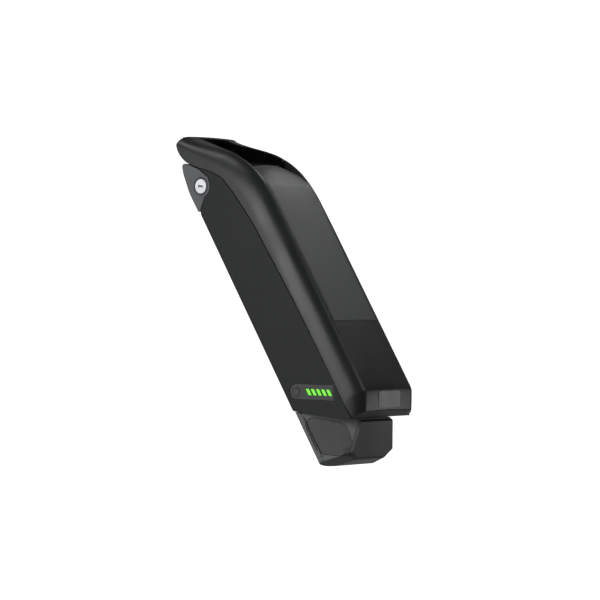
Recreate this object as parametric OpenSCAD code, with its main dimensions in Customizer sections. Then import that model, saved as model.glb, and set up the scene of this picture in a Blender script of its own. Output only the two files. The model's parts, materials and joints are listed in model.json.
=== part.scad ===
// Removable battery pack for a bicycle's down tube, on its lower contact holder and upper lock holder.
// +X runs up the tube, +Y towards the side with the lock and the lights, +Z outward from the tube.

/* [Pack] */
// Width of the pack across the tube
pack_w = 92; // [90:1:94]
// Thickness of the case walls
wall = 2.5; // [2.4:0.1:2.8]
// Length of the tray along the tube, from its lower corner to the lock
tray_len = 217; // [216:1:218]
// Width of the front panel between the rails
panel_w = 66; // [64:1:67]
// Where the front panel starts, measured up the tube
panel_start = 50.5; // [46:0.5:56]

/* [Cells] */
// Radius of one cell
cell_r = 9.15; // [9:0.05:9.2]
// Length of one cell, with its end button
cell_len = 65; // [64:0.5:65.5]
// Distance between neighbouring cells
cell_pitch = 19.4; // [19.2:0.1:19.4]

/* [Lock] */
// Radius of the plug's visible face
plug_face_r = 6.9; // [6.5:0.1:7]
// Radius of the plug's shaft
plug_r = 5.6; // [5:0.1:5.8]
// Reach of the latch tongue from the plug's axis
tongue_len = 13.6; // [13:0.1:13.6]

/* [Holders] */
// Gap between the pack's lower end and the lower holder
end_gap = 3.6; // [3.4:0.1:4]
// How far the base plates stand off the holder shells
lift = 1.5; // [1.5:0.1:2]
// Radius of the holes for the tube's screws
bolt_hole_r = 2.65; // [2.55:0.05:2.75]
// Distance between the lower holder's two holes
lower_bolt_pitch = 32; // [30:1:34]
// Distance between the upper holder's two holes
upper_bolt_pitch = 24; // [22:1:26]

/* [Hidden] */
$fn = 48;

// The pack's own corner next to the tube and the lower holder is the local origin of the outlines:
// u runs up the tube from it and t outward.
nose_reach = 297;
holder_reach = 69;
half_w = pack_w / 2;

// Lower end face: it leans from the corner to the apex
apex_u = -41.5;
apex_t = 56.5;
end_slant = atan2(-apex_u, apex_t);

// Upper end of the tray, which leans over the lock housing
notch_slope = 19 / 24;
notch_slant = atan(notch_slope);
notch_gap = 0.9;

// Rails
rail_t = 79.5;
rail_drop = 21.5;
rail_w = half_w - panel_w / 2;
crown = 1;
edge_r = 4;
seam_gap = 0.6;
skin_t = 76.5;
fit_gap = 0.3;

// Cells: the first row starts clear of the discharge socket
rows = 4;
cells_in_row = 10;
first_cell = [21, 12.3];
row_rise = cell_pitch * sin(60);
row_shift = -cell_pitch / 2;
button_h = 1;
holder_in = 25.5;
holder_out = 32.1;

// Indicator strip on the near side
strip_at = [12.7, 14.3];
strip_slant = 32;
strip_w = 15;
strip_len = 52;
led_count = 5;
led_first = 15.2;
led_pitch = 6.05;
led_half = 2.8;
led_bar = 3.3;
button_r = 4.2;

// Lock
lock_at = [240.7, 15.9];
boss_r = 11;
barrel_r = 7.4;
barrel_head = 40;
barrel_head_r = 9;
run_gap = 0.05;
tongue_y = [10, 13];
tongue_half = 3.5;
tongue_gap = 0.3;
cam_shaft_r = 3;

// Lower holder
pocket_t = 52;
flap_hinge = [5.6, 40.6];
flap_barrel_r = 1.1;
flap_pin_r = 0.5;
flap_u = [-41, -18];

function unit(v) = v / norm(v);
function turned(v, a) = [v.x * cos(a) - v.y * sin(a), v.x * sin(a) + v.y * cos(a)];
function flat_point(p) = [p[0], p[1]];
function side_normal(a, b) = let (d = unit(b - a)) [-d.y, d.x];

// The arc that rounds corner b of the path a, b, c to radius r
function corner_arc(a, b, c, r, seg) =
    let (back = unit(a - b), on = unit(c - b), half = acos(max(-1, min(1, back * on))) / 2)
    (r <= 0 || half > 89.7) ? [b] :
    let (
        centre = b + unit(back + on) * r / sin(half),
        start = b + back * r / tan(half) - centre,
        sweep = sign(cross(b - a, c - b)) * (180 - 2 * half)
    )
    [for (k = [0:seg]) centre + turned(start, sweep * k / seg)];

// An outline from points [x, y, corner radius]
function rounded(p, seg = 5) =
    let (n = len(p))
    [for (i = [0:n - 1]) each corner_arc(
        flat_point(p[(i + n - 1) % n]), flat_point(p[i]), flat_point(p[(i + 1) % n]), p[i][2], seg)];

// The same points moved inward by d, on an outline that runs anticlockwise
function inset(p, d) =
    let (n = len(p))
    [for (i = [0:n - 1])
        let (
            a = flat_point(p[(i + n - 1) % n]), b = flat_point(p[i]), c = flat_point(p[(i + 1) % n]),
            n1 = side_normal(a, b), n2 = side_normal(b, c),
            q = b + d * (n1 + n2) / (1 + n1 * n2),
            r = p[i][2] - sign(cross(b - a, c - b)) * d
        )
        [q.x, q.y, p[i][2] > 0 ? max(0.3, r) : 0]];

// The seam between tray and cover, from the nose down to the apex
seam = [[257.5, 22.4], [245, 34.4], [232.5, 42.3], [210, 47.4], [172, 52.3], [82, 56.2], [6.7, 57.2]];
seam_end = [apex_u, apex_t + 1];

nose_under = [[271.5, 11.3, 8], [281, 6.5, 4], [290, 5.2, 2.5]];
crest = [[nose_reach, 19.5, 2], [263, 50.5, 60], [238, 68.5, 45], [205, rail_t + crown, 60],
         [-24, rail_t + crown, 8], [-40.5, 69.5, 8]];

tray_outline = concat(
    [[0, 0, 8], [tray_len, 0, 3], [236, (236 - tray_len) / notch_slope, 1], [243, 29, 1.5]],
    [for (p = seam) [p.x, p.y, 0]], [[seam_end.x, seam_end.y, 0.5]]);
cover_outline = concat(
    nose_under, crest, [[seam_end.x, seam_end.y + seam_gap, 0.5]],
    [for (i = [len(seam) - 1:-1:0]) [seam[i].x, seam[i].y + seam_gap, 0]]);
hollow_outline = [[0, 0, 8], [tray_len, 0, 3], [235, (235 - tray_len) / notch_slope, 0], [238, 60, 6],
                  [226, 68, 12], [207, skin_t, 30], [-20, skin_t, 8], [apex_u, 60, 3],
                  [apex_u, apex_t, 0]];

// The cut above the skin that carries the panel: it rolls down into the finger recess
skin_cut = [[panel_start, 100, 0], [panel_start, skin_t, 0], [212, skin_t, 34], [233.5, 58, 6],
            [236.5, 34, 5], [262, 24, 25], [291.5, 11.5, 6], [293.5, 100, 0]];

module place() {
    translate([corner_x, 0, lift]) children();
}

// A side outline extruded across the pack, centred on it
module across(w) {
    rotate([90, 0, 0]) linear_extrude(w, center = true) children();
}

// A side outline extruded between two distances from the middle
module across_from(y0, y1) {
    translate([0, y1, 0]) rotate([90, 0, 0]) linear_extrude(y1 - y0) children();
}

// A cross-section extruded along the tube
module along(u0, u1) {
    translate([u0, 0, 0]) rotate([90, 0, 90]) linear_extrude(u1 - u0) children();
}

// Local frame of the lower end face: x points into the pack, z runs up the face
module end_frame() {
    rotate([0, -end_slant, 0]) children();
}

// Local frame of the tray's upper end: x points out of the pack, z runs up the face
module notch_frame() {
    translate([tray_len, 0, 0]) rotate([0, notch_slant, 0]) children();
}

// Local frame of the indicator strip: x points out of the pack's side, z runs along the strip
module strip_frame() {
    translate([strip_at.x, half_w, strip_at.y]) rotate([0, -strip_slant, 0]) rotate([0, 0, 90]) children();
}

// Cross-section of the whole pack: square at the tube, round rails outside
function pack_section() =
    let (
        foot = [for (a = [-90:30:0]) [half_w - edge_r + edge_r * cos(a), edge_r + edge_r * sin(a)]],
        rail = [for (a = [0:15:90])
            [half_w - rail_w + rail_w * cos(a), rail_t - rail_drop + rail_drop * sin(a)]],
        top = [for (k = [2, 1]) [panel_w / 6 * k, rail_t + crown * (1 - pow(k / 3, 2))]],
        right = concat(foot, rail, top)
    )
    concat(right, [[0, rail_t + crown]], [for (i = [len(right) - 1:-1:0]) [-right[i].x, right[i].y]]);

// Cross-section of the nose, measured down from its sloping crest
function nose_section() =
    let (right = [for (a = [0:18:90]) [half_w - 16 + 16 * cos(a), -15 + 15 * sin(a)]])
    concat([[half_w, -420]], right, [for (i = [len(right) - 1:-1:0]) [-right[i].x, right[i].y]],
           [[-half_w, -420]]);

module pack_envelope() {
    nose_slope = atan2(50.5 - 19.5, nose_reach - 263);
    intersection() {
        along(-60, 310) polygon(pack_section());
        translate([nose_reach, 0, 19.5]) rotate([0, nose_slope, 0])
            along(-420, 40) polygon(nose_section());
    }
}

module hollow() {
    inner = half_w - wall;
    intersection() {
        across(pack_w) polygon(rounded(inset(hollow_outline, wall), 4));
        along(-60, 310) polygon(rounded([
            [-inner, 1, 0], [inner, 1, 0], [inner, skin_t - wall, 12], [-inner, skin_t - wall, 12]], 4));
    }
}

module recess_plan(grow = 0) {
    linear_extrude(240, center = true) polygon(rounded([
        [200, -panel_w / 2 - grow, 0], [254, -panel_w / 2 - grow, 30], [292 + grow, -17 - grow, 7 + grow],
        [292 + grow, 17 + grow, 7 + grow], [254, panel_w / 2 + grow, 30], [200, panel_w / 2 + grow, 0]]));
}

module screw(r, head_r, length) {
    difference() {
        union() {
            cylinder(h = length, r = r);
            translate([0, 0, length]) cylinder(h = 1.6, r = head_r);
        }
        translate([0, 0, length + 0.6]) cylinder(h = 2, r = head_r / 2, $fn = 6);
    }
}

// Direction of the path at point i, averaged over its two neighbours
function path_dir(p, i) = unit(p[min(i + 1, len(p) - 1)] - p[max(i - 1, 0)]);

// A lead of constant radius swept through a list of points
module lead(points, r, sides = 10) {
    rings = [for (i = [0:len(points) - 1])
        let (
            d = path_dir(points, i),
            a = unit(cross(d, [0.1, 0.2, 1])),
            b = cross(d, a)
        )
        for (k = [0:sides - 1]) points[i] + r * (cos(360 * k / sides) * a + sin(360 * k / sides) * b)];
    last = (len(points) - 1) * sides;
    polyhedron(rings, concat(
        [[for (k = [0:sides - 1]) k]],
        [for (i = [0:len(points) - 2]) for (k = [0:sides - 1]) [
            i * sides + k, (i + 1) * sides + k,
            (i + 1) * sides + (k + 1) % sides, i * sides + (k + 1) % sides]],
        [[for (k = [sides - 1:-1:0]) last + k]]));
}

// ---- Case ----

module strip_shape(w, len_after, depth0, depth1) {
    rotate([0, 0, -90]) across_from(depth0, depth1) union() {
        circle(d = w);
        translate([-w / 2, 0]) square([w, len_after]);
    }
}

module lower_tray() {
    color("#1d1e20") place() difference() {
        intersection() {
            across(pack_w + 2) polygon(rounded(tray_outline));
            pack_envelope();
        }
        hollow();
        // Clearance round the lock's boss
        translate([lock_at.x, half_w + 1, lock_at.y]) rotate([90, 0, 0])
            cylinder(h = 11, r = boss_r + notch_gap);
        // Window for the indicator strip and opening behind it
        strip_frame() strip_shape(strip_w, strip_len - strip_w / 2, -1.5, 2);
        strip_frame() strip_shape(strip_w - 3, strip_len - strip_w / 2 - 1.5, -10, 2);
        // Opening for the discharge socket
        end_frame() translate([-1, -23, 24]) cube([10, 46, 20]);
        // Seat of the striker and room for the latch tongue
        notch_frame() translate([-2, 4.9, 10.4]) cube([3, 13.2, 18.7]);
        tongue_room(0.3);
        recess_cut();
        case_screw_places() {
            translate([0, 0, -4]) cylinder(h = 8, r = 1.8);
            translate([0, 0, -4]) cylinder(h = 6.1, r = 3);
        }
    }
}

module case_screw_places() {
    for (u = [30, 110, 200]) {
        for (side = [-1, 1]) {
            translate([u, side * 39.5, 0]) children();
        }
    }
}

module case_screws() {
    color("#8d9094") place() case_screw_places() {
        translate([0, 0, 2.1]) mirror([0, 0, 1]) translate([0, 0, -10]) screw(1.5, 2.7, 10);
    }
}

module outer_cover() {
    color("#2a2b2d") place() difference() {
        intersection() {
            across(pack_w + 2) polygon(rounded(cover_outline));
            pack_envelope();
        }
        hollow();
        recess_cut();
        // Seat of the end pad
        pad_frame() translate([0, 0, -1.2]) pad_shape(0.25, 6);
    }
}

// Room of the front panel and the finger recess
module recess_cut() {
    intersection() {
        across(panel_w) polygon(rounded(skin_cut));
        union() {
            recess_plan();
            translate([0, -panel_w / 2, -60]) cube([210, panel_w, 220]);
        }
    }
}

module seam_gasket() {
    color("#101010") place() difference() {
        across(pack_w - 2.4) polygon(concat(
            [for (p = seam) p + [0, 0.05]], [seam_end + [1, 0.05]], [seam_end + [1, seam_gap - 0.05]],
            [for (i = [len(seam) - 1:-1:0]) seam[i] + [0, seam_gap - 0.05]]));
        across(pack_w - 5) polygon([[seam_end.x + 3, 20], [236, 20], [236, 80], [seam_end.x + 3, 80]]);
        recess_cut();
    }
}

module front_panel() {
    half = panel_w / 2 - fit_gap;
    color("#3b3d3e") place() intersection() {
        across(2 * half) polygon(rounded([
            [panel_start + fit_gap, skin_t, 0], [212, skin_t, 34], [233.3, 58.2, 6],
            [233.9, 56.2, 0], [236.2, 56.6, 0], [235.7, 60, 8],
            [213, rail_t + crown, 36], [panel_start + fit_gap, rail_t + crown, 0.5]]));
        along(40, 250) polygon(concat(
            [[-half, 0], [half, 0], [half, rail_t - 1.5]],
            [for (k = [3:-1:-3]) [half * k / 4, rail_t + crown - 2 * pow(k / 4, 2)]],
            [[-half, rail_t - 1.5]]));
    }
}

module grip_insert() {
    inner_cut = [[200, 100, 0], [238.3, 61, 0], [238.3, 36.5, 5], [263, 26, 25],
                 [290, 14.5, 6], [291, 100, 0]];
    outer_cut = [[236.3, 59, 0], [236.3, 34.7, 5], [262, 24.6, 25], [291, 12.1, 6], [291, 24.2, 0],
                 [262, 51, 40], [237.5, 66, 0]];
    color("#0b0b0c") place() difference() {
        intersection() {
            across(panel_w - 0.4) polygon(rounded(outer_cut));
            recess_plan(-0.2);
        }
        intersection() {
            across(panel_w) polygon(rounded(inner_cut));
            recess_plan(-1.7);
        }
    }
}

// The end pad lies on the upper facet of the lower end
module pad_frame() {
    facet_u = (-24 - 40.5) / 2;
    facet_t = (rail_t + crown + 69.5) / 2;
    translate([facet_u, 0, facet_t]) rotate([0, -atan2(rail_t + crown - 69.5, 16.5), 0]) children();
}

module pad_shape(grow, h) {
    linear_extrude(h) polygon(rounded([
        [-7.5 - grow, -16.5 - grow, 3], [7.5 + grow, -16.5 - grow, 3],
        [7.5 + grow, 16.5 + grow, 3], [-7.5 - grow, 16.5 + grow, 3]]));
}

module end_pad() {
    color("#55585b") place() pad_frame() translate([0, 0, -1.2]) pad_shape(0, 1.5);
}

// ---- Indicator ----

module led_shape(grow, depth0, depth1) {
    for (i = [0:led_count - 1]) {
        strip_frame() translate([0, 0, led_first + i * led_pitch]) rotate([0, 0, -90])
            across_from(depth0, depth1)
            polygon([for (c = [[-1, -1], [1, -1], [1, 1], [-1, 1]])
                [c.x * (led_half + grow), c.y * (led_bar / 2 + grow) - c.x * led_half * tan(strip_slant)]]);
    }
}

module indicator_plate() {
    color("#161718") place() difference() {
        strip_frame() strip_shape(strip_w - 0.3, strip_len - strip_w / 2 - 0.15, -1.5, -0.6);
        led_shape(0.05, -3, 1);
        strip_frame() rotate([0, 90, 0]) cylinder(h = 6, r = button_r + fit_gap, center = true);
    }
}

module led_lenses() {
    color("#7dff1a") place() led_shape(0, -2.2, -0.5);
}

module power_button() {
    color("#1a1b1c") place() strip_frame() rotate([0, 90, 0]) union() {
        translate([0, 0, -3.2]) cylinder(h = 2.8, r = button_r);
        translate([0, 0, -5.5]) cylinder(h = 2.4, r = 1.4);
    }
}

module button_switch() {
    color("#3a3a3a") place() strip_frame() rotate([0, 90, 0]) {
        translate([-3, -3, -8.7]) cube([6, 6, 2.3]);
    }
}

module indicator_board() {
    color("#1f6b3a") place() strip_frame() difference() {
        translate([-10.2, -6, -6]) cube([1.5, 12, 49]);
        translate([-9, 0, 30]) rotate([0, 90, 0]) cylinder(h = 6, r = 1.2, center = true);
    }
}

// ---- Cells and electrics ----

function cell_at(row, i) = first_cell + [row_shift * row + cell_pitch * i, row_rise * row];

module cells_row(row) {
    color("#2f6fa8") place() for (i = [0:cells_in_row - 1]) {
        at = cell_at(row, i);
        flip = i % 2 == 0 ? 1 : -1;
        translate([at.x, 0, at.y]) rotate([90 * flip, 0, 0]) {
            translate([0, 0, -cell_len / 2]) cylinder(h = cell_len - button_h, r = cell_r);
            translate([0, 0, cell_len / 2 - button_h - 0.1]) cylinder(h = button_h + 0.1, r = 3);
        }
    }
}

module cells_row_1() { cells_row(0); }
module cells_row_2() { cells_row(1); }
module cells_row_3() { cells_row(2); }
module cells_row_4() { cells_row(3); }

// Leaning outline round the cells of columns i0 to i1
function block_outline(i0, i1, gx, gy, r) = [
    concat(cell_at(0, i0) + [-gx, -gy], r), concat(cell_at(0, i1) + [gx, -gy], r),
    concat(cell_at(rows - 1, i1) + [gx, gy], r), concat(cell_at(rows - 1, i0) + [-gx, gy], r)];

module cell_holder(y0, y1) {
    color("#c9c4b4") place() difference() {
        across_from(y0, y1) polygon(rounded(block_outline(0, cells_in_row - 1, 11, 9.4, 9), 6));
        for (row = [0:rows - 1]) {
            for (i = [0:cells_in_row - 1]) {
                at = cell_at(row, i);
                translate([at.x, 0, at.y]) rotate([90, 0, 0]) cylinder(h = 100, r = cell_r + 0.12,
                    center = true);
            }
        }
    }
}

module cell_holder_left() { cell_holder(holder_in, holder_out); }
module cell_holder_right() { cell_holder(-holder_out, -holder_in); }

module busbars(columns, side) {
    y = side * (cell_len / 2 + 0.35);
    color("#c8cacc") place() for (c = columns) {
        translate([0, y, 0]) across(0.4) polygon(rounded(block_outline(c[0], c[1], 7.5, 6, 3), 3));
    }
}

module busbars_left() { busbars([for (i = [0:2:8]) [i, i + 1]], 1); }
module busbars_right() { busbars([[0, 0], [1, 2], [3, 4], [5, 6], [7, 8], [9, 9]], -1); }

board_u = 211;

module bms_board() {
    color("#1f6b3a") place() difference() {
        translate([board_u, -34, 9]) cube([1.6, 68, 55]);
        for (y = [-29, 29]) {
            for (t = [14, 54]) {
                translate([board_u, y, t]) rotate([0, 90, 0]) cylinder(h = 8, r = 1.6, center = true);
            }
        }
    }
}

module bms_parts() {
    color("#202124") place() {
        for (i = [0:5]) {
            translate([board_u + 1.6, -26 + i * 8, 36]) cube([2.4, 6, 8]);
        }
        translate([board_u + 1.6, -22, 48]) cube([6, 44, 6]);
        translate([board_u + 1.6, -8, 20]) cube([1.4, 16, 10]);
        for (y = [16, 23]) {
            translate([board_u + 1.6, y, 22]) rotate([0, 90, 0]) cylinder(h = 6, r = 3);
        }
    }
}

module fuse() {
    color("#c8352b") place() {
        translate([board_u - 9, -7, 55]) cube([9, 14, 3.2]);
        translate([board_u - 8, -6, 58.2]) cube([7, 12, 6]);
    }
}

// A main lead runs from the board along one side of the cells to the discharge socket
module main_lead(side, y) {
    lead([for (p = [
        [board_u - 0.6, 20, 50], [203, 22, 51], [199, y - 2, 50], [190, y, 40], [30, y, 40], [0, y, 34.5],
        [-12, y - 2.5, 32.4], [-13.7, y - 8, 32.1], [-13.7, 22.8, 32.1]]) [p.x, side * p.y, p.z]], 1.6);
}

module positive_lead() {
    color("#b3241c") place() main_lead(1, 40.5);
}

module negative_lead() {
    color("#1a1a1a") place() main_lead(-1, 40.5);
}

module balance_ribbon() {
    color("#d8d8d8") place() {
        translate([0, 34.6, 56]) cube([board_u, 0.8, 7]);
    }
}

module foam_strips() {
    color("#3c3c3c") place() for (y = [-20, 20]) {
        translate([20, y - 6, wall]) cube([170, 12, 0.3]);
    }
}

// ---- Contacts in the pack's lower end ----

contact_count = 5;
contact_pitch = 7.6;
face_mid = 34;

module contact_places() {
    for (i = [0:contact_count - 1]) {
        translate([0, (i - (contact_count - 1) / 2) * contact_pitch, face_mid]) children();
    }
}

module discharge_socket() {
    color("#26282a") place() end_frame() difference() {
        translate([0.6, -22.8, face_mid - 9.8]) cube([13.2, 45.6, 19.6]);
        contact_places() translate([-1, -1.5, -7.5]) cube([11, 3, 15]);
    }
}

module socket_contacts() {
    color("#c98d4a") place() end_frame() contact_places() {
        translate([8, -1.2, -4]) cube([2, 2.4, 8]);
    }
}

module latch_striker() {
    color("#9a9da1") place() difference() {
        notch_frame() translate([-1.9, 5, 10.5]) cube([1.8, 13, 18.5]);
        tongue_room(0.3);
    }
}

// ---- Upper holder ----

function notch_u(t) = tray_len + t * notch_slope;

housing_outline = [
    [notch_u(0.4) + notch_gap + 1, 0.4, 1.5], [243, 0, 60], [264, 3.4, 30], [272, 6.4, 3], [270.8, 10.2, 2],
    [257, 21.4, 6], [243.2, 27.7, 1.5], [notch_u(23.4) + notch_gap + 0.3, 23.4, 1]];
housing_half = half_w - 0.4;

module bezel_shape() {
    union() {
        polygon(rounded([
            [notch_u(1.5) + notch_gap + 1, 0.4, 1], [243, 0, 60], [263.8, 3.5, 0], [254.4, 7.4, 0.5],
            [250.2, 6.9, 0], [249.6, 21, 0], [240.7, lock_at.y + boss_r, 0], [231, 17.4, 0],
            [232.1, 5.9, 0.4], [224.6, 6.6, 0]]));
        translate(lock_at) circle(r = boss_r, $fn = 64);
    }
}

module lock_axis() {
    translate([lock_at.x, 0, lock_at.y]) rotate([-90, 0, 0]) children();
}

// A base plate on the tube side, with holes for the tube's screws and countersunk holder screws
module base_plate(middle, length, width, top, pitch, screw_u, screw_y) {
    difference() {
        translate([middle - length / 2, -width / 2, -lift]) cube([length, width, lift + top]);
        for (side = [-1, 1]) {
            translate([middle + side * pitch / 2, 0, 0]) cylinder(h = 20, r = bolt_hole_r, center = true);
        }
        holder_screw_places(middle, screw_u, screw_y) {
            cylinder(h = 20, r = 1.6, center = true);
            translate([0, 0, -lift - 0.01]) cylinder(h = 1.3, r1 = 3, r2 = 1.6);
        }
    }
}

module holder_screw_places(middle, screw_u, screw_y) {
    for (a = [-1, 1]) {
        for (b = [-1, 1]) {
            translate([middle + a * screw_u, b * screw_y, 0]) children();
        }
    }
}

module countersunk_screw(length) {
    translate([0, 0, -lift + 0.1]) union() {
        cylinder(h = 1.2, r1 = 2.8, r2 = 1.5);
        cylinder(h = length, r = 1.5);
    }
}

upper_mid = 244;
upper_screw = [17, 17];
lower_mid = -33;
lower_screw = [18, 21];

module upper_base_plate() {
    color("#6e7276") place()
        base_plate(upper_mid, 42, 44, 1.6, upper_bolt_pitch, upper_screw.x, upper_screw.y);
}

module lock_housing() {
    color("#55585a") place() difference() {
        across(2 * housing_half) polygon(rounded(housing_outline));
        // Seat of the bezel, with the boss's circle
        across_from(41.4, 50) bezel_seat();
        // Bore of the lock barrel, and the room of the cam behind it
        lock_axis() translate([0, 0, 22]) cylinder(h = 30, r = barrel_r + run_gap);
        lock_axis() translate([0, 0, barrel_head - 0.1]) cylinder(h = 30, r = barrel_head_r + run_gap);
        lock_axis() translate([0, 0, 8.4]) cylinder(h = 13.7, r = 7.5);
        tongue_room(0);
        // Seat of the base plate and the room over its screws
        translate([222.7, -22.3, -5]) cube([42.6, 44.6, 6.7]);
        for (side = [-1, 1]) {
            translate([upper_mid + side * upper_bolt_pitch / 2, 0, -2]) cylinder(h = 9, r = 5.2);
        }
        holder_screw_places(upper_mid, upper_screw.x, upper_screw.y) cylinder(h = 8, r = 1.5);
        // Hollow far side
        translate([232, -41, -5]) cube([26, 17, 21]);
    }
}

module bezel_seat() {
    union() {
        bezel_shape();
        translate(lock_at) circle(r = boss_r + 0.15, $fn = 64);
    }
}

module lock_bezel() {
    color("#5d6062") place() difference() {
        across_from(41.5, 45.7) bezel_shape();
        lock_axis() translate([0, 0, 30]) cylinder(h = 30, r = barrel_head_r + run_gap);
    }
}

module lock_barrel() {
    color("#2c2d2f") place() lock_axis() difference() {
        union() {
            translate([0, 0, 22.2]) cylinder(h = 20, r = barrel_r);
            translate([0, 0, barrel_head]) cylinder(h = 45.8 - barrel_head, r = barrel_head_r);
        }
        translate([0, 0, 20]) cylinder(h = 40, r = plug_r + run_gap);
        translate([0, 0, 44]) cylinder(h = 4, r = plug_face_r + run_gap + 0.1);
    }
}

module lock_plug() {
    color("#e4e5e7") place() lock_axis() difference() {
        union() {
            translate([0, 0, 20.4]) cylinder(h = 24, r = plug_r);
            translate([0, 0, 44.1]) cylinder(h = 1.9, r = plug_face_r);
        }
        rotate([0, 0, -37]) translate([-1.1, -3.2, 41]) cube([2.2, 6.4, 6]);
    }
}

// Quarter of a disc that the latch tongue sweeps, larger by the gap
module tongue_room(grow) {
    gap = tongue_gap + grow;
    low_t = 1.7;
    intersection() {
        lock_axis() translate([0, 0, tongue_y[0] - gap])
            cylinder(h = tongue_y[1] - tongue_y[0] + 2 * gap, r = tongue_len + gap);
        translate([200, 0, low_t])
            cube([lock_at.x + tongue_half + gap - 200, 40, lock_at.y + tongue_half + gap - low_t]);
    }
}

module lock_cam() {
    color("#b9bbbe") place() lock_axis() union() {
        translate([0, 0, 17.2]) cylinder(h = 3.2, r = 6.9);
        translate([0, 0, 8.8]) cylinder(h = 9, r = cam_shaft_r);
    }
}

module latch_tongue() {
    color("#a7aaad") place() lock_axis() translate([0, 0, tongue_y[0]])
        linear_extrude(tongue_y[1] - tongue_y[0]) difference() {
            union() {
                circle(r = 5.5);
                intersection() {
                    circle(r = tongue_len);
                    translate([-tongue_half, 0]) square([2 * tongue_half, tongue_len]);
                }
            }
            circle(r = cam_shaft_r + run_gap);
        }
}

module upper_holder_screws() {
    color("#8d9094") place()
        holder_screw_places(upper_mid, upper_screw.x, upper_screw.y) countersunk_screw(8);
}

// ---- Lower holder ----

front_top = [apex_u - 1.5, pocket_t];
front_low = [-holder_reach, 28];
foot_y = 43;
brow_y = 24;
holder_side = [[-60, 0, 5], [20, 0, 0], [20, pocket_t, 0], [front_top.x, pocket_t, 0.5],
               [front_low.x, front_low.y, 3], [-64.2, 7, 6]];
holder_section = [[-foot_y, 0, 2], [foot_y, 0, 2], [brow_y, pocket_t, 0], [-brow_y, pocket_t, 0]];
holder_plan = [[20, -foot_y - 1, 0], [20, foot_y + 1, 0], [-56, foot_y + 1, 8], [front_low.x - 1, 21, 3],
               [front_low.x - 1, -21, 3], [-56, -foot_y - 1, 8]];
// The whole object is centred on X
corner_x = -(min([for (p = rounded(holder_side)) p.x]) + max([for (p = rounded(cover_outline)) p.x])) / 2;

// The fold between each side and the front: three points of its face
fold_foot = [-58, foot_y, 0];
fold_brow = [-42, brow_y, pocket_t];
fold_chin = [front_low.x, 22, front_low.y];

// Solid body of the lower holder, smaller by d all round
module holder_body(d) {
    n = unit(cross(fold_chin - fold_foot, fold_brow - fold_foot));
    intersection() {
        across(100) polygon(rounded(inset(holder_side, d)));
        along(-80, 25) polygon(rounded(inset(holder_section, d)));
        linear_extrude(80) polygon(rounded(inset(holder_plan, d)));
        for_both_sides() translate(fold_foot) rotate([0, acos(n.z), atan2(n.y, n.x)])
            translate([-150, -150, -300 - d]) cube([300, 300, 300]);
    }
}

function reversed(p) = [for (i = [len(p) - 1:-1:0]) p[i]];

module for_both_sides() {
    intersection() {
        children();
        mirror([0, 1, 0]) children();
    }
}

// Everything on the holder's side of the slanted gap
module below_gap(d) {
    end_frame() translate([-200 - end_gap - d, -60, -100]) cube([200, 120, 250]);
}

// Room of the front cover, the slab behind the front face, smaller by the gap
module front_cut(gap) {
    slope = atan2(front_top.x - front_low.x, front_top.y - front_low.y);
    translate([front_low.x, 0, front_low.y]) rotate([0, slope, 0])
        translate([-5, -40, gap - 1.2]) cube([8.5 - gap, 80, 60]);
}

flap_outline = [
    [-13.5, flap_hinge[0] - 2.5, 5], [-49, flap_hinge[0] - 2.5, 11], [-64.6, 27, 1.5], [-57, 35.5, 1.5],
    [-52, 36.5, 4], [-37, 39.2, 15], [-16, 15, 6]];

module flap_prism(grow) {
    across_from(10, 60) polygon(rounded(inset(reversed(flap_outline), -grow)));
}

module lower_base_plate() {
    color("#6e7276") place()
        base_plate(lower_mid, 46, 52, 1, lower_bolt_pitch, lower_screw.x, lower_screw.y);
}

module lower_holder_shell() {
    color("#4b4e50") place() difference() {
        intersection() {
            holder_body(0);
            below_gap(0);
        }
        intersection() {
            holder_body(wall);
            below_gap(wall);
        }
        front_cut(0);
        // Seat of the base plate, and the opening for the contact block
        translate([lower_mid - 23.3, -26.3, -5]) cube([46.6, 52.6, 6.05]);
        for (side = [-1, 1]) {
            translate([lower_mid + side * lower_bolt_pitch / 2, 0, 0]) cylinder(h = 6, r = 5.2);
        }
        holder_screw_places(lower_mid, lower_screw.x, lower_screw.y) cylinder(h = 8, r = 1.5);
        end_frame() translate([-10, -22.3, face_mid - 9.3]) cube([12, 44.6, 18.6]);
        // Opening of the charge socket and seat of the flap, with the hinge pin's holes
        flap_prism(0.4);
        flap_axis() translate([0, 0, -0.4]) cylinder(h = flap_u[1] - flap_u[0] + 0.8,
            r = flap_barrel_r + 0.3);
        flap_axis() translate([0, 0, -14.5]) cylinder(h = flap_u[1] - flap_u[0] + 23, r = flap_pin_r);
    }
}

module lower_holder_front() {
    color("#26282a") place() difference() {
        intersection() {
            holder_body(0);
            below_gap(0);
            front_cut(0.15);
        }
        intersection() {
            holder_body(wall);
            translate([0.4, 0, 0]) front_cut(0);
            below_gap(wall);
        }
        flap_prism(0.5);
    }
}

module contact_block() {
    color("#1f2022") place() end_frame() union() {
        translate([-end_gap - 4, -22, face_mid - 9]) cube([5, 44, 18]);
        // Raised seat that the pack's lower end closes over
        translate([-end_gap, 0, 0]) rotate([90, 0, 90]) linear_extrude(end_gap - 0.9) polygon(rounded([
            [-38, 3, 3], [38, 3, 3], [24, 60, 4], [-24, 60, 4]]));
    }
}

module contact_blades() {
    color("#d09a52") place() end_frame() contact_places() {
        translate([-0.9, -0.5, -4.5]) cube([8.3, 1, 9]);
    }
}

charge_at = [-42, 14, 18];
charge_lean = 18;

// Local frame of the charge socket: z points out through the flap's opening
module charge_frame() {
    translate(charge_at) rotate([charge_lean - 90, 0, 0]) children();
}

module charge_socket() {
    color("#202224") place() charge_frame() difference() {
        cylinder(h = 16, r = 10.5);
        translate([0, 0, 2]) cylinder(h = 20, r = 8.5);
    }
}

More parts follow.
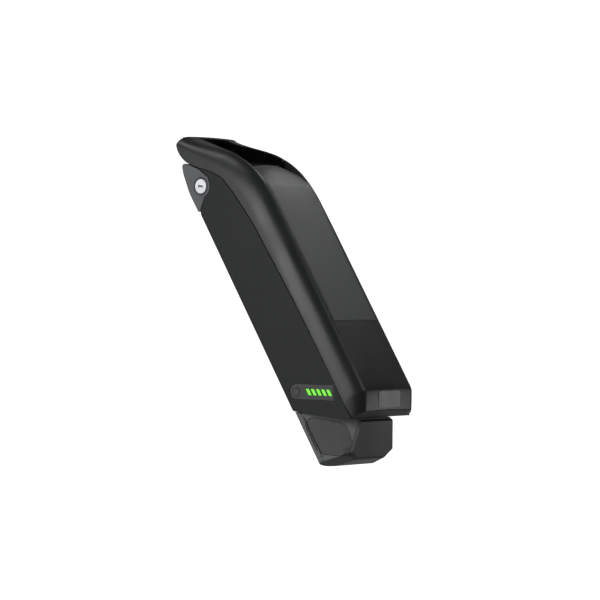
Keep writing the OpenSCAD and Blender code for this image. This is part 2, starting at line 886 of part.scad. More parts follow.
module charge_pins() {
    color("#d0b060") place() charge_frame() for (i = [0:4]) {
        rotate([0, 0, 72 * i]) translate([4.6, 0, 2]) cylinder(h = 7, r = 1);
    }
}

module flap_axis() {
    translate([flap_u[0], flap_hinge[1], flap_hinge[0]]) rotate([0, 90, 0]) children();
}

module charge_flap() {
    color("#37393b") place() difference() {
        union() {
            intersection() {
                flap_prism(0);
                difference() {
                    holder_body(0.1);
                    holder_body(2.4);
                }
                translate([-80, 0, flap_hinge[0] - 0.5]) cube([90, 60, 60]);
            }
            flap_axis() cylinder(h = flap_u[1] - flap_u[0], r = flap_barrel_r);
        }
        flap_axis() translate([0, 0, -20]) cylinder(h = 80, r = flap_pin_r + run_gap);
    }
}

module flap_pin() {
    color("#a7aaad") place() flap_axis() translate([0, 0, -14])
        cylinder(h = flap_u[1] - flap_u[0] + 22, r = flap_pin_r);
}

module lower_holder_screws() {
    color("#8d9094") place()
        holder_screw_places(lower_mid, lower_screw.x, lower_screw.y) countersunk_screw(4.6);
}

lower_tray();
outer_cover();
seam_gasket();
front_panel();
grip_insert();
end_pad();
indicator_plate();
led_lenses();
power_button();
button_switch();
indicator_board();
cells_row_1();
cells_row_2();
cells_row_3();
cells_row_4();
cell_holder_left();
cell_holder_right();
busbars_left();
busbars_right();
bms_board();
bms_parts();
fuse();
positive_lead();
negative_lead();
balance_ribbon();
foam_strips();
discharge_socket();
socket_contacts();
latch_striker();
case_screws();
upper_base_plate();
lock_housing();
lock_bezel();
lock_barrel();
upper_holder_screws();
lock_plug();
lock_cam();
latch_tongue();
lower_base_plate();
lower_holder_shell();
lower_holder_front();
contact_block();
contact_blades();
charge_socket();
charge_pins();
flap_pin();
lower_holder_screws();
charge_flap();
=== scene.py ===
import json
import math

import bmesh
import bpy
import numpy as np
from mathutils import Matrix, Vector


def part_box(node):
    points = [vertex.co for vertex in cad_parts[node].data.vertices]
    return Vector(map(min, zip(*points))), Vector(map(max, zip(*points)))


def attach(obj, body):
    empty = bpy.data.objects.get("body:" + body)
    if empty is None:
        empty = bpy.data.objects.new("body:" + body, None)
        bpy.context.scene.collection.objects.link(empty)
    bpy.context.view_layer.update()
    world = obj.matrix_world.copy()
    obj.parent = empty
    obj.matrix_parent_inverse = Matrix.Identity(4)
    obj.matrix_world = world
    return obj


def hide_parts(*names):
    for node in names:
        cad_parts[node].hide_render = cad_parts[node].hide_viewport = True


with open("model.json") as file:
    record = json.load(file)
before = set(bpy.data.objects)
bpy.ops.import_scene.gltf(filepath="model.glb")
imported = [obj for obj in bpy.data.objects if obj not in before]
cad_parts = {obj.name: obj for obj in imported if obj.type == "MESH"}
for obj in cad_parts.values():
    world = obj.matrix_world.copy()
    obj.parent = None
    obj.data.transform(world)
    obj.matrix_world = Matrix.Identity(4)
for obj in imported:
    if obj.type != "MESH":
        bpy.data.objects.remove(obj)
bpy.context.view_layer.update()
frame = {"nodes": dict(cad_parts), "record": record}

MM = 0.001

# The pack's own corner next to the tube is the origin of every outline here, in millimetres:
# u runs up the tube from it, y towards the lock's side and t outward from the tube.
APEX_U, APEX_T = -41.5, 56.5
LOCK_U = 240.7
CORNER_X = sum(corner.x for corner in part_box("lock_plug")) / 2 - LOCK_U * MM
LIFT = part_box("lower_tray")[0].z


def at(u, y, t):
    """A point of the pack's own frame, in metres in the shared frame."""
    return Vector((CORNER_X + u * MM, y * MM, LIFT + t * MM))


# ---- Camera, floor and light ----

VIEW_UP = Vector((0.853, 0.0, 0.522))
VIEW_BACK = Vector((-0.327, 0.780, 0.534))
CAMERA_AWAY = 2.5
CAMERA_LENS = 160.0
AIM_RIGHT, AIM_UP = 0.00844, 0.1040


def make_camera():
    back = VIEW_BACK.normalized()
    right = VIEW_UP.cross(back).normalized()
    up = back.cross(right)
    data = bpy.data.cameras.new("camera")
    data.lens = CAMERA_LENS
    data.sensor_width = 36.0
    data.clip_end = 20.0
    camera = bpy.data.objects.new("camera", data)
    camera.matrix_world = Matrix((right, up, back)).transposed().to_4x4()
    camera.location = at(0, 46, 0) + AIM_RIGHT * right + AIM_UP * up + CAMERA_AWAY * back
    bpy.context.scene.collection.objects.link(camera)
    bpy.context.scene.camera = camera


make_camera()


def area_light(name, place, target, size, power, colour=(1, 1, 1)):
    data = bpy.data.lights.new(name, "AREA")
    data.shape = "RECTANGLE"
    data.size, data.size_y = size
    data.energy = power
    data.color = colour
    lamp = bpy.data.objects.new(name, data)
    lamp.location = place
    lamp.rotation_euler = (Vector(target) - Vector(place)).to_track_quat("-Z", "Y").to_euler()
    bpy.context.scene.collection.objects.link(lamp)


FLOOR_DROP = 1.0
FLOOR_REACH = 8.0
FLOOR_GLOW = 0.15
ROOM_GLOW = 0.10


def make_world():
    """A dim room round the softboxes, white where the camera looks past the floor."""
    world = bpy.data.worlds.new("studio")
    world.use_nodes = True
    nodes, links = world.node_tree.nodes, world.node_tree.links
    room = nodes["Background"]
    room.inputs["Color"].default_value = (1, 1, 1, 1)
    room.inputs["Strength"].default_value = ROOM_GLOW
    backdrop = nodes.new("ShaderNodeBackground")
    backdrop.inputs["Strength"].default_value = 1.0
    path = nodes.new("ShaderNodeLightPath")
    mix = nodes.new("ShaderNodeMixShader")
    links.new(path.outputs["Is Camera Ray"], mix.inputs["Fac"])
    links.new(room.outputs["Background"], mix.inputs[1])
    links.new(backdrop.outputs["Background"], mix.inputs[2])
    links.new(mix.outputs["Shader"], nodes["World Output"].inputs["Surface"])
    bpy.context.scene.world = world


def make_floor():
    """A pale floor well below, bright enough to have no shadow on it."""
    mesh = bpy.data.meshes.new("floor")
    r = FLOOR_REACH
    mesh.from_pydata([(-r, -r, -FLOOR_DROP), (r, -r, -FLOOR_DROP), (r, r, -FLOOR_DROP), (-r, r, -FLOOR_DROP)],
                     [], [(0, 1, 2, 3)])
    material = bpy.data.materials.new("floor_pale")
    material.use_nodes = True
    nodes, links = material.node_tree.nodes, material.node_tree.links
    shader = nodes["Principled BSDF"]
    shader.inputs["Base Color"].default_value = (0.6, 0.6, 0.6, 1)
    shader.inputs["Roughness"].default_value = 0.9
    shader.inputs["Emission Color"].default_value = (1, 1, 1, 1)
    path = nodes.new("ShaderNodeLightPath")
    glow = nodes.new("ShaderNodeMapRange")
    glow.inputs["To Min"].default_value = FLOOR_GLOW
    glow.inputs["To Max"].default_value = 1.0
    links.new(path.outputs["Is Camera Ray"], glow.inputs["Value"])
    links.new(glow.outputs["Result"], shader.inputs["Emission Strength"])
    mesh.materials.append(material)
    floor = bpy.data.objects.new("floor", mesh)
    bpy.context.scene.collection.objects.link(floor)


make_world()
make_floor()
bpy.context.scene.view_settings.view_transform = "Standard"

# ---- Materials ----


def new_material(name):
    material = bpy.data.materials.new(name)
    material.use_nodes = True
    nodes, links = material.node_tree.nodes, material.node_tree.links
    return material, nodes, links, nodes["Principled BSDF"]


def object_coords(nodes):
    return nodes.new("ShaderNodeTexCoord").outputs["Object"]


def noise(nodes, links, scale, detail=3.0, roughness=0.5, stretch=None):
    """A noise texture in object space, finer with a larger scale (features per metre)."""
    texture = nodes.new("ShaderNodeTexNoise")
    texture.inputs["Scale"].default_value = scale
    texture.inputs["Detail"].default_value = detail
    texture.inputs["Roughness"].default_value = roughness
    source = object_coords(nodes)
    if stretch:
        mapping = nodes.new("ShaderNodeMapping")
        mapping.inputs["Scale"].default_value = stretch
        links.new(source, mapping.inputs["Vector"])
        source = mapping.outputs["Vector"]
    links.new(source, texture.inputs["Vector"])
    return texture.outputs["Fac"]


def ramp(nodes, links, source, stops):
    node = nodes.new("ShaderNodeValToRGB")
    elements = node.color_ramp.elements
    while len(elements) < len(stops):
        elements.new(0.5)
    for element, (place, colour) in zip(elements, stops):
        element.position = place
        element.color = (*colour, 1) if len(colour) == 3 else colour
    links.new(source, node.inputs["Fac"])
    return node.outputs["Color"]


def spread(nodes, links, source, low, high, from_low=0.3, from_high=0.7):
    node = nodes.new("ShaderNodeMapRange")
    node.inputs["From Min"].default_value = from_low
    node.inputs["From Max"].default_value = from_high
    node.inputs["To Min"].default_value = low
    node.inputs["To Max"].default_value = high
    links.new(source, node.inputs["Value"])
    return node.outputs["Result"]


def bump(nodes, links, shader, source, strength, distance):
    node = nodes.new("ShaderNodeBump")
    node.inputs["Strength"].default_value = strength
    node.inputs["Distance"].default_value = distance
    links.new(source, node.inputs["Height"])
    links.new(node.outputs["Normal"], shader.inputs["Normal"])


def tint(colour, factor):
    return tuple(min(1.0, c * factor) for c in colour)


def moulded_plastic(name, colour, rough, grain=2600.0, depth=0.00006, vary=0.10, specular=0.5):
    """Fine spark-eroded grain, with a slow drift of shade and gloss from handling."""
    material, nodes, links, shader = new_material(name)
    slow = noise(nodes, links, 22.0, 4.0, 0.55)
    fine = noise(nodes, links, grain, 2.0, 0.5)
    links.new(ramp(nodes, links, slow, [(0.3, tint(colour, 1 - vary)), (0.7, tint(colour, 1 + vary))]),
              shader.inputs["Base Color"])
    links.new(spread(nodes, links, slow, rough - 0.05, rough + 0.05), shader.inputs["Roughness"])
    bump(nodes, links, shader, fine, 0.35, depth)
    shader.inputs["Specular IOR Level"].default_value = specular
    return material


def polished_plastic(name, colour, rough, coat=0.6):
    """Glossy moulding with faint orange peel and wiping marks."""
    material, nodes, links, shader = new_material(name)
    peel = noise(nodes, links, 260.0, 1.0)
    wipe = noise(nodes, links, 60.0, 5.0, 0.7, (1.0, 6.0, 1.0))
    links.new(ramp(nodes, links, wipe, [(0.35, colour), (0.75, tint(colour, 1.35))]),
              shader.inputs["Base Color"])
    links.new(spread(nodes, links, wipe, rough, rough + 0.06), shader.inputs["Roughness"])
    bump(nodes, links, shader, peel, 0.06, 0.0002)
    shader.inputs["Coat Weight"].default_value = coat
    shader.inputs["Coat Roughness"].default_value = 0.08
    return material


def rubbery(name, colour, rough=0.75):
    material, nodes, links, shader = new_material(name)
    fine = noise(nodes, links, 1800.0, 4.0, 0.7)
    slow = noise(nodes, links, 40.0, 3.0)
    links.new(ramp(nodes, links, slow, [(0.3, tint(colour, 0.85)), (0.7, tint(colour, 1.2))]),
              shader.inputs["Base Color"])
    links.new(spread(nodes, links, slow, rough - 0.06, rough + 0.06), shader.inputs["Roughness"])
    bump(nodes, links, shader, fine, 0.5, 0.00008)
    return material


def brushed_metal(name, colour, rough=0.32, stretch=(3.0, 60.0, 60.0)):
    material, nodes, links, shader = new_material(name)
    lines = noise(nodes, links, 60.0, 5.0, 0.6, stretch)
    links.new(ramp(nodes, links, lines, [(0.3, tint(colour, 0.82)), (0.7, tint(colour, 1.1))]),
              shader.inputs["Base Color"])
    links.new(spread(nodes, links, lines, rough - 0.08, rough + 0.10), shader.inputs["Roughness"])
    bump(nodes, links, shader, lines, 0.12, 0.00003)
    shader.inputs["Metallic"].default_value = 1.0
    return material


def shrink_wrap(name, colour):
    """Heat-shrink film of a cell: glossy, with fine wrinkles round its ends."""
    material, nodes, links, shader = new_material(name)
    wrinkle = noise(nodes, links, 90.0, 3.0, 0.6, (4.0, 0.6, 4.0))
    links.new(ramp(nodes, links, wrinkle, [(0.3, tint(colour, 0.8)), (0.7, tint(colour, 1.25))]),
              shader.inputs["Base Color"])
    links.new(spread(nodes, links, wrinkle, 0.22, 0.34), shader.inputs["Roughness"])
    bump(nodes, links, shader, wrinkle, 0.2, 0.0002)
    return material


def circuit_board(name, mask, copper):
    """Solder mask over copper tracks."""
    material, nodes, links, shader = new_material(name)
    cells = nodes.new("ShaderNodeTexBrick")
    cells.inputs["Scale"].default_value = 180.0
    cells.inputs["Color1"].default_value = (*mask, 1)
    cells.inputs["Color2"].default_value = (*tint(mask, 1.4), 1)
    cells.inputs["Mortar"].default_value = (*copper, 1)
    cells.inputs["Mortar Size"].default_value = 0.02
    mapping = nodes.new("ShaderNodeMapping")
    mapping.inputs["Rotation"].default_value = (0.0, math.pi / 2, 0.0)
    links.new(object_coords(nodes), mapping.inputs["Vector"])
    links.new(mapping.outputs["Vector"], cells.inputs["Vector"])
    links.new(cells.outputs["Color"], shader.inputs["Base Color"])
    links.new(spread(nodes, links, noise(nodes, links, 300.0), 0.25, 0.4), shader.inputs["Roughness"])
    bump(nodes, links, shader, cells.outputs["Fac"], 0.2, 0.0001)
    return material


def lit_lens(name, colour, strength):
    """Diffusing lens with a light behind it, brighter at its middle grain."""
    material, nodes, links, shader = new_material(name)
    grain = noise(nodes, links, 700.0, 2.0)
    links.new(ramp(nodes, links, grain, [(0.3, tint(colour, 0.85)), (0.7, colour)]),
              shader.inputs["Emission Color"])
    shader.inputs["Emission Strength"].default_value = strength
    shader.inputs["Base Color"].default_value = (*tint(colour, 0.5), 1)
    shader.inputs["Roughness"].default_value = 0.35
    bump(nodes, links, shader, grain, 0.1, 0.0001)
    return material


FINISHES = {
    "case_dark": moulded_plastic("case_dark", (0.016, 0.017, 0.018), 0.5, depth=0.00004, specular=0.18),
    "cover_dark": moulded_plastic("cover_dark", (0.017, 0.018, 0.019), 0.36, depth=0.00003, specular=0.36),
    "panel_grey": moulded_plastic("panel_grey", (0.062, 0.066, 0.067), 0.45, depth=0.00003, specular=0.4),
    "gloss_black": polished_plastic("gloss_black", (0.0022, 0.0022, 0.0025), 0.14),
    "soft_black": rubbery("soft_black", (0.006, 0.006, 0.006)),
    "pad_grey": rubbery("pad_grey", (0.30, 0.305, 0.315), 0.6),
    "strip_black": moulded_plastic("strip_black", (0.012, 0.013, 0.014), 0.36),
    "light_green": lit_lens("light_green", (0.14, 0.85, 0.01), 1.0),
    "button_black": moulded_plastic("button_black", (0.013, 0.013, 0.014), 0.38),
    "holder_grey": moulded_plastic("holder_grey", (0.078, 0.081, 0.085), 0.50),
    "holder_dark": moulded_plastic("holder_dark", (0.026, 0.027, 0.029), 0.50),
    "flap_grey": moulded_plastic("flap_grey", (0.036, 0.037, 0.038), 0.55),
    "cell_wrap": shrink_wrap("cell_wrap", (0.03, 0.13, 0.36)),
    "frame_plastic": moulded_plastic("frame_plastic", (0.60, 0.57, 0.48), 0.5),
    "nickel": brushed_metal("nickel", (0.62, 0.62, 0.60), 0.28),
    "board_green": circuit_board("board_green", (0.012, 0.11, 0.045), (0.30, 0.22, 0.09)),
    "chip_black": moulded_plastic("chip_black", (0.018, 0.018, 0.02), 0.5),
    "fuse_red": polished_plastic("fuse_red", (0.45, 0.03, 0.02), 0.2),
    "wire_red": rubbery("wire_red", (0.50, 0.02, 0.015), 0.5),
    "wire_black": rubbery("wire_black", (0.012, 0.012, 0.012), 0.5),
    "ribbon_grey": rubbery("ribbon_grey", (0.50, 0.50, 0.50), 0.5),
    "foam_grey": rubbery("foam_grey", (0.04, 0.04, 0.04), 0.9),
    "contact_gold": brushed_metal("contact_gold", (0.80, 0.56, 0.22), 0.24),
    "steel": brushed_metal("steel", (0.52, 0.53, 0.54), 0.3),
    # chrome_face carries a painted reflection: the chrome's mirror image of the bright room is painted in as
    # a near-white, non-metal base colour
    "chrome_face": polished_plastic("chrome_face", (0.80, 0.81, 0.83), 0.22),
    "barrel_dark": brushed_metal("barrel_dark", (0.05, 0.05, 0.055), 0.35),
}


# ---- The CAD nodes that stay ----

def soften(piece, width, angle=35.0):
    """Small rounded edges, as moulded and machined parts have."""
    weld = piece.modifiers.new("weld", "WELD")
    weld.merge_threshold = 0.002 * MM
    edge = piece.modifiers.new("soft_edges", "BEVEL")
    edge.width = width * MM
    edge.segments = 2
    edge.limit_method = "ANGLE"
    edge.angle_limit = math.radians(angle)
    edge.harden_normals = True


for slot_row in frame["record"]["subparts"]:
    node = frame["nodes"][slot_row["node"]]
    node.data.materials.clear()
    node.data.materials.append(FINISHES[slot_row["material_slot"]])
for name, width in (("lower_tray", 0.5), ("lock_housing", 0.5), ("lock_bezel", 0.35), ("lock_plug", 0.3),
                    ("lock_barrel", 0.25), ("end_pad", 0.5), ("power_button", 0.3), ("indicator_plate", 0.2)):
    soften(frame["nodes"][name], width)

# ---- Smooth outer mouldings, lofted from cross-sections along the tube ----

HALF_W = 46.0
WALL = 2.5
CROWN = 1.0
PANEL_HALF = 33.0
SEAM = ((-41.5, 57.5), (6.7, 57.2), (82, 56.2), (172, 52.3), (210, 47.4), (232.5, 42.3), (245, 34.4),
        (257.5, 22.4))
NOSE_UNDER = ((257.5, 22.4), (264, 16.6), (271.5, 11.0), (276, 9.4), (281, 8.2), (286, 8.0), (290, 8.6),
              (292.5, 10.2), (294.5, 13.0), (296.5, 17.6))
CREST = ((-24, 79.5), (160, 79.5), (192, 79.0), (207, 77.4), (222, 74.0), (236, 68.4), (252, 58.8),
         (264, 48.2), (276, 36.3), (288, 25.3), (295, 19.8), (296.5, 18.9))
FLOOR = ((50.5, 76.5), (204, 76.5), (212, 75.2), (220, 71.6), (227, 66.4), (232, 60.5), (233.5, 57.5),
         (236.3, 34.6), (241, 31.6), (262, 24.2), (280, 16.6), (291.5, 11.6))
RECESS_HALF = ((236, 33.0), (252, 32.6), (262, 31.2), (270, 28.0), (277, 23.4), (284, 21.4), (293.5, 21.2))
CREST_BLEND = 1.6
RAIL_DROP = ((-42, 21.5), (236, 21.5), (262, 20.0), (280, 15.0), (297, 11.0))
RAIL_WIDTH = ((-42, 13.0), (236, 13.0), (262, 14.0), (297, 16.0))


def follow(points, u, soft=0.0):
    """Height of a piecewise path at u, averaged over a window of half-width soft."""
    span = np.linspace(-soft, soft, 9) if soft else np.zeros(1)
    xs, ys = zip(*points)
    return float(np.mean(np.interp(u + span, xs, ys)))


def crest_at(u):
    """Height of the rails' crest: level, then over the hump, with a facet at the lower end."""
    heights = (follow(CREST, u, 4.0), 79.5 + (u + 24.0) * 11.0 / 16.5, 69.5 + (u + 40.5) * 12.5)
    low = min(heights)
    extra = sum(math.exp(-(height - low) / CREST_BLEND) for height in heights)
    return low - CREST_BLEND * math.log(extra) * 0.55


def under_at(u):
    return follow(SEAM, u, 1.5) + 0.6 if u < 256 else follow(NOSE_UNDER, u, 1.0) + 0.6


def loft(name, stations, section):
    """A closed skin through the cross-sections section(u), each a list of (y, t) with the same count."""
    bm = bmesh.new()
    rings = [[bm.verts.new(at(u, y, t)) for y, t in section(u)] for u in stations]
    count = len(rings[0])
    for first, second in zip(rings, rings[1:]):
        for k in range(count):
            m = (k + 1) % count
            bm.faces.new((first[k], first[m], second[m], second[k]))
    bm.faces.new(list(reversed(rings[0])))
    bm.faces.new(rings[-1])
    bmesh.ops.remove_doubles(bm, verts=bm.verts, dist=0.02 * MM)
    bmesh.ops.recalc_face_normals(bm, faces=bm.faces)
    mesh = bpy.data.meshes.new(name)
    bm.to_mesh(mesh)
    bm.free()
    piece = bpy.data.objects.new(name, mesh)
    bpy.context.scene.collection.objects.link(piece)
    return piece


def cover_section(u):
    top, low = crest_at(u), under_at(u)
    drop, width = follow(RAIL_DROP, u, 6.0), follow(RAIL_WIDTH, u, 6.0)
    top = max(top, low + 0.3)
    spring = top - drop
    first = 0.0
    if spring < low:
        first = math.asin(min(1.0, (low - spring) / drop))
    flank_y = HALF_W - width + width * math.cos(first)
    flank_t = max(low, spring)
    lip = min(0.5, 0.3 * (flank_t - low))
    half = [(flank_y - lip, low), (flank_y, low + lip)]
    half += [(flank_y, low + lip + (flank_t - low - lip) * k / 4) for k in (1, 2, 3)]
    for k in range(17):
        angle = first + (math.pi / 2 - first) * k / 16
        half.append((HALF_W - width + width * math.cos(angle), spring + drop * math.sin(angle)))
    inner = HALF_W - width
    for k in (5, 4, 3, 2, 1):
        half.append((inner * k / 6, top + CROWN * (1 - (k / 6) ** 2)))
    return half + [(0.0, top + CROWN)] + [(-y, t) for y, t in reversed(half)]


def box_section(half, low, high):
    """A four-cornered cross-section, its size following the tube."""
    return lambda u: [(half(u), low(u)), (half(u), high(u)), (-half(u), high(u)), (-half(u), low(u))]


def carve(piece, cutters, how="DIFFERENCE"):
    """Applies the cutters, then drops them."""
    for cutter in cutters:
        cut = piece.modifiers.new("cut", "BOOLEAN")
        cut.operation = how
        cut.solver = "EXACT"
        cut.object = cutter
    bpy.context.view_layer.update()
    graph = bpy.context.evaluated_depsgraph_get()
    mesh = bpy.data.meshes.new_from_object(piece.evaluated_get(graph))
    piece.modifiers.clear()
    piece.data = mesh
    for cutter in cutters:
        bpy.data.objects.remove(cutter)
    return piece


def dress(piece, finish, body, stands_for, angle=32.0):
    for polygon in piece.data.polygons:
        polygon.use_smooth = True
    piece.data.set_sharp_from_angle(angle=math.radians(angle))
    piece.data.materials.clear()
    piece.data.materials.append(FINISHES[finish])
    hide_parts(stands_for)
    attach(piece, body)
    return piece


def steps(*spans):
    """Stations along the tube from (start, end, count) spans."""
    out = []
    for start, end, count in spans:
        out += [start + (end - start) * k / count for k in range(count)]
    return out + [spans[-1][1]]


def floor_at(u):
    return follow(FLOOR, u, 1.2 if u < 232 else 0.3)


def recess_half(u):
    return PANEL_HALF if u < 237 else follow(RECESS_HALF, u, 4.0)


def inside_section(u):
    """Room inside the case, a wall's thickness within the rails and under the panel's seat."""
    top = crest_at(u) - 5.5
    if u > 50:
        top = min(top, floor_at(u) - WALL)
    shoulder = min(top, crest_at(u) - 8.0)
    half = [(43.5, 20.0), (43.5, min(shoulder - 6.0, crest_at(u) - 22.0)), (40.0, shoulder - 4.0),
            (34.0, shoulder), (30.0, top)]
    return half + [(-y, t) for y, t in reversed(half)]


def make_cover():
    cover = loft("outer_cover_moulding",
                 steps((-41.5, -38, 14), (-38, -18, 20), (-18, 150, 8), (150, 200, 12), (200, 290, 60),
                       (290, 296.5, 14)),
                 cover_section)
    inside = loft("inside", steps((-38.6, -37, 2), (-37, -22, 6), (-22, 205, 6), (205, 233, 12)),
                  inside_section)
    recess = loft("recess", steps((50.5, 200, 6), (200, 240, 34), (240, 293.5, 36)),
                  box_section(recess_half, floor_at, lambda u: 130.0))
    carve(cover, [inside, recess])
    dress(cover, "cover_dark", "pack", "outer_cover")


PANEL_END = ((200, 80.3), (207, 78.8), (215, 76.6), (222, 74.4), (228, 71.6), (232, 68.6), (234.4, 65.0),
             (235.6, 61.0), (236.0, 58.4))
PANEL_DOME = ((200, 0.8), (206, 1.0), (218, 3.0), (228, 7.0), (234, 10.0), (236, 9.0))


def panel_top(u, y):
    dome = follow(PANEL_DOME, u, 3.0)
    crown = 80.45 if u < 200 else follow(PANEL_END, u, 2.0 if u < 232 else 0.4)
    return crown - dome * (abs(y) / PANEL_HALF) ** 2.4


def panel_section(u):
    half = PANEL_HALF - 0.35
    low = floor_at(min(u, 233.4)) + 0.1
    rows = [half * k / 14 for k in range(14, -15, -1)]
    top = [(y, max(low + 0.4, panel_top(u, y))) for y in rows]
    first, last = top[0], top[-1]
    rim = 0.5
    top = [(half, first[1] - rim), (half - 0.15, first[1] - 0.15)] + [(half - rim, first[1])] + top[1:-1] + [
        (-half + rim, last[1]), (-half + 0.15, last[1] - 0.15), (-half, last[1] - rim)]
    return [(half, low)] + top + [(-half, low)]


def make_panel():
    panel = loft("front_panel_moulding",
                 steps((50.85, 51.4, 2), (51.4, 200, 10), (200, 228, 20), (228, 236.1, 26)),
                 panel_section)
    dress(panel, "panel_grey", "pack", "front_panel", 40.0)


def make_grip():
    start = 236.4
    body = loft("grip_insert_liner", steps((start, 238, 4), (238, 292.8, 48)),
                box_section(lambda u: recess_half(u) - 0.25, lambda u: floor_at(u) + 0.15,
                            lambda u: crest_at(u) - (0.5 if u > 243 else 0.5 + (243 - u) * 1.0)))
    room = loft("room", steps((start + 1.8, 240, 4), (240, 291.3, 44)),
                box_section(lambda u: recess_half(u) - 1.7, lambda u: floor_at(u) + 1.7, lambda u: 120.0))
    carve(body, [room])
    edge = body.modifiers.new("soft_edges", "BEVEL")
    edge.width = 0.5 * MM
    edge.segments = 3
    edge.limit_method = "ANGLE"
    edge.angle_limit = math.radians(40)
    dress(body, "gloss_black", "pack", "grip_insert", 35.0)


make_cover()
make_panel()
make_grip()

# ---- Lower holder: shell, front cover and charge flap ----

END_SLANT = math.atan2(-APEX_U, APEX_T)
POCKET_T = 52.0
FOOT_Y, BROW_Y = 43.0, 24.0
FRONT_TOP_U, FRONT_LOW_U, FRONT_LOW_T = -43, -69, 28
HOLDER_SIDE = ((-60, 0, 5), (20, 0, 0), (20, POCKET_T, 0), (FRONT_TOP_U, POCKET_T, 0.5),
               (FRONT_LOW_U, FRONT_LOW_T, 3), (-64.2, 7, 6))
HOLDER_SECTION = ((-FOOT_Y, 0, 2), (FOOT_Y, 0, 2), (BROW_Y, POCKET_T, 0), (-BROW_Y, POCKET_T, 0))
HOLDER_PLAN = ((20, -FOOT_Y - 1, 0), (20, FOOT_Y + 1, 0), (-56, FOOT_Y + 1, 8), (-70, 18, 3), (-70, -18, 3),
               (-56, -FOOT_Y - 1, 8))
FLAP_LOW, FLAP_FOOT = 4.6, 5.0
FLAP_OUTLINE = ((-16, 15, 6), (-37, 39.2, 15), (-52, 36.5, 4), (-57, 35.5, 1.5), (-64.6, 27, 1.5),
                (-49, FLAP_LOW, 11), (-13.5, FLAP_LOW, 5))
PACK_GAP = 1.0
HINGE_Y, HINGE_T = 40.6, 5.6


def rounded(outline, seg=8):
    """An outline's (x, y, radius) corners, each turned into an arc."""
    out = []
    count = len(outline)
    for i, (x, y, radius) in enumerate(outline):
        here = Vector((x, y))
        back = (Vector(outline[i - 1][:2]) - here).normalized()
        ahead = (Vector(outline[(i + 1) % count][:2]) - here).normalized()
        half = math.acos(max(-1.0, min(1.0, back.dot(ahead)))) / 2
        if radius <= 0 or half > math.radians(89.5):
            out.append((x, y))
            continue
        centre = here + (back + ahead).normalized() * radius / math.sin(half)
        first = here + back * radius / math.tan(half) - centre
        last = here + ahead * radius / math.tan(half) - centre
        turn = first.angle_signed(last)
        for k in range(seg + 1):
            arm = first.copy()
            arm.rotate(Matrix.Rotation(-turn * k / seg, 2))
            out.append(tuple(centre + arm))
    return out


def inset(outline, d):
    """The outline moved inward by d, its corner radii kept in step. It runs anticlockwise or clockwise."""
    count = len(outline)
    area = sum(outline[i - 1][0] * outline[i][1] - outline[i][0] * outline[i - 1][1] for i in range(count))
    side = 1.0 if area > 0 else -1.0
    out = []
    for i, (x, y, radius) in enumerate(outline):
        here = Vector((x, y))
        along = (here - Vector(outline[i - 1][:2])).normalized()
        on = (Vector(outline[(i + 1) % count][:2]) - here).normalized()
        n1, n2 = side * Vector((-along.y, along.x)), side * Vector((-on.y, on.x))
        place = here + d * (n1 + n2) / (1 + n1.dot(n2))
        out.append((place.x, place.y, max(0.3, radius - d) if radius > 0 else 0))
    return out


def prism(name, outline, low, high, axis):
    """An outline extruded between two distances: axis y for side outlines, x for sections, z for plans."""
    turn = {
        "x": lambda a, b, c: at(c, a, b),
        "y": lambda a, b, c: at(a, c, b),
        "z": lambda a, b, c: at(a, b, c),
    }[axis]
    bm = bmesh.new()
    rings = [[bm.verts.new(turn(a, b, c)) for a, b in outline] for c in (low, high)]
    count = len(outline)
    for k in range(count):
        m = (k + 1) % count
        bm.faces.new((rings[0][k], rings[0][m], rings[1][m], rings[1][k]))
    bm.faces.new(list(reversed(rings[0])))
    bm.faces.new(rings[1])
    bmesh.ops.recalc_face_normals(bm, faces=bm.faces)
    mesh = bpy.data.meshes.new(name)
    bm.to_mesh(mesh)
    bm.free()
    piece = bpy.data.objects.new(name, mesh)
    bpy.context.scene.collection.objects.link(piece)
    return piece


def below_pack(gap):
    """The half-space under the pack's lower end face, a gap away from it."""
    du, dt = -math.sin(END_SLANT), math.cos(END_SLANT)
    line = [(-gap * dt + du * reach, gap * du + dt * reach) for reach in (-60, 120)]
    far = [(line[1][0] - 150, line[1][1] - 100), (line[0][0] - 150, line[0][1] - 100)]
    return prism("below", line + far, -70, 70, "y")


def holder_body(name, d, gap):
    body = prism(name, rounded(inset(HOLDER_SIDE, d)), -60, 60, "y")
    section = prism("section", rounded(inset(HOLDER_SECTION, d)), -90, 30, "x")
    plan = prism("plan", rounded(inset(HOLDER_PLAN, d)), -10, 90, "z")
    return carve(body, [section, plan, below_pack(gap)], "INTERSECT")


def front_strip(gap, ahead):
    """The strip along the lower holder's front that the cover fills, wider by the gap."""
    slope = math.atan2(FRONT_TOP_U - FRONT_LOW_U, POCKET_T - FRONT_LOW_T)
    along, out = Vector((math.sin(slope), math.cos(slope))), Vector((math.cos(slope), -math.sin(slope)))
    origin = Vector((FRONT_LOW_U, FRONT_LOW_T))
    corners = [origin - ahead * out + (gap - 1.2) * along, origin + (3.5 - gap) * out + (gap - 1.2) * along,
               origin + (3.5 - gap) * out + 60 * along, origin - ahead * out + 60 * along]
    return prism("front", [tuple(c) for c in corners], -50, 50, "y")


def flap_window(grow):
    return prism("window", rounded(inset(FLAP_OUTLINE, -grow)), 10, 60, "y")


def bevelled(piece, width, angle=30.0):
    edge = piece.modifiers.new("soft_edges", "BEVEL")
    edge.width = width * MM
    edge.segments = 3
    edge.limit_method = "ANGLE"
    edge.angle_limit = math.radians(angle)
    edge.harden_normals = True
    return piece


def hinge_roll(start, end, radius):
    """A round knuckle on the charge flap's axis."""
    ring = [(HINGE_Y + radius * math.cos(k * math.pi / 12), HINGE_T + radius * math.sin(k * math.pi / 12))
            for k in range(24)]
    return prism("roll", ring, start, end, "x")


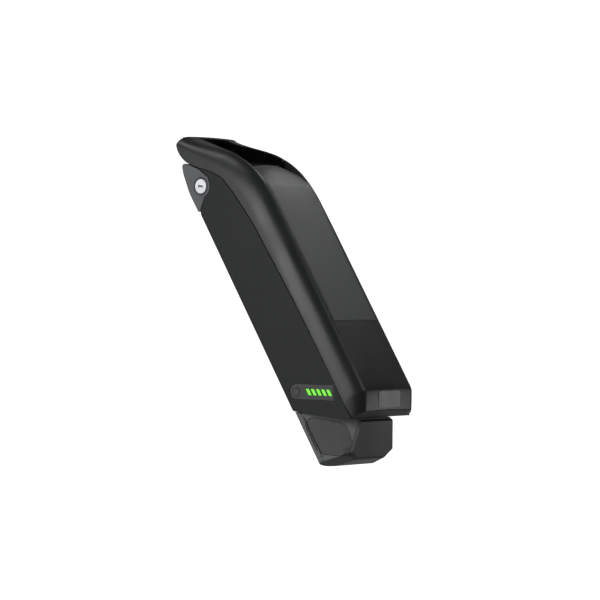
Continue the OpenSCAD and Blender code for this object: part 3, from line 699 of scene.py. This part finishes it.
def make_lower_holder():
    shell = holder_body("lower_holder_moulding", 0.0, PACK_GAP)
    carve(shell, [holder_body("inside", WALL, PACK_GAP + 2.6), front_strip(0.0, 5.0), flap_window(0.4)])
    carve(shell, [hinge_roll(-41.4, -17.6, 1.5)])
    carve(shell, [hinge_roll(-54.0, -41.4, 1.1), hinge_roll(-17.6, -10.5, 1.1)], "UNION")
    carve(shell, [hinge_roll(-60.0, 0.0, 0.55)])
    dress(bevelled(shell, 0.6), "holder_grey", "holders", "lower_holder_shell")
    cover = holder_body("lower_front_cover", 0.0, PACK_GAP + 1.2)
    carve(cover, [front_strip(0.2, 5.0)], "INTERSECT")
    carve(cover, [flap_window(0.5)])
    dress(bevelled(cover, 0.6), "holder_dark", "holders", "lower_holder_front")
    flap = holder_body("charge_flap_moulding", 0.1, 3.0)
    above_foot = prism("foot", [(-90, FLAP_FOOT), (10, FLAP_FOOT), (10, 60), (-90, 60)], 0, 60, "y")
    carve(flap, [flap_window(0.0), above_foot], "INTERSECT")
    ribs = [prism("rib", [(u, 25.6), (u + 0.7, 25.6), (u + 0.7, 33.4), (u, 33.4)], 15.0, 60.0, "y")
            for u in (-61.6, -59.8, -58.0)]
    carve(flap, [holder_body("inside", 2.4, -5.0)])
    grooves = [carve(rib, [holder_body("groove", 0.6, -5.0)]) for rib in ribs]
    carve(flap, grooves)
    carve(flap, [hinge_roll(-56.0, -41.1, 1.5), hinge_roll(-17.9, -8.0, 1.5)])
    carve(flap, [hinge_roll(-41.1, -17.9, 1.1)], "UNION")
    carve(flap, [hinge_roll(-60.0, 0.0, 0.6)])
    dress(bevelled(flap, 0.35), "flap_grey", "flap", "charge_flap")


make_lower_holder()

# ---- Light ----

CENTRE = Vector((0.0, 0.0, 0.045))
STUDIO = {
    "panel_softbox": ((0.62, -0.78, 0.50), 1.6, (0.6, 0.7), 4.4),
    "facet_softbox": ((-0.50, -0.78, 0.42), 1.6, (0.5, 0.6), 2.6),
    "rail_softbox": ((0.34, 0.94, -0.10), 1.5, (0.24, 1.3), 11.0),
    "side_fill": ((-0.30, 0.90, -0.10), 1.7, (1.2, 0.8), 3.4),
    "top_fill": ((0.05, -0.10, 1.0), 1.8, (0.8, 0.6), 4.5),
    "nose_softbox": ((0.90, 0.42, 0.10), 1.5, (0.7, 0.7), 5.0),
}
for name, (aim, away, size, power) in STUDIO.items():
    area_light(name, CENTRE + away * Vector(aim).normalized(), CENTRE, size, power)
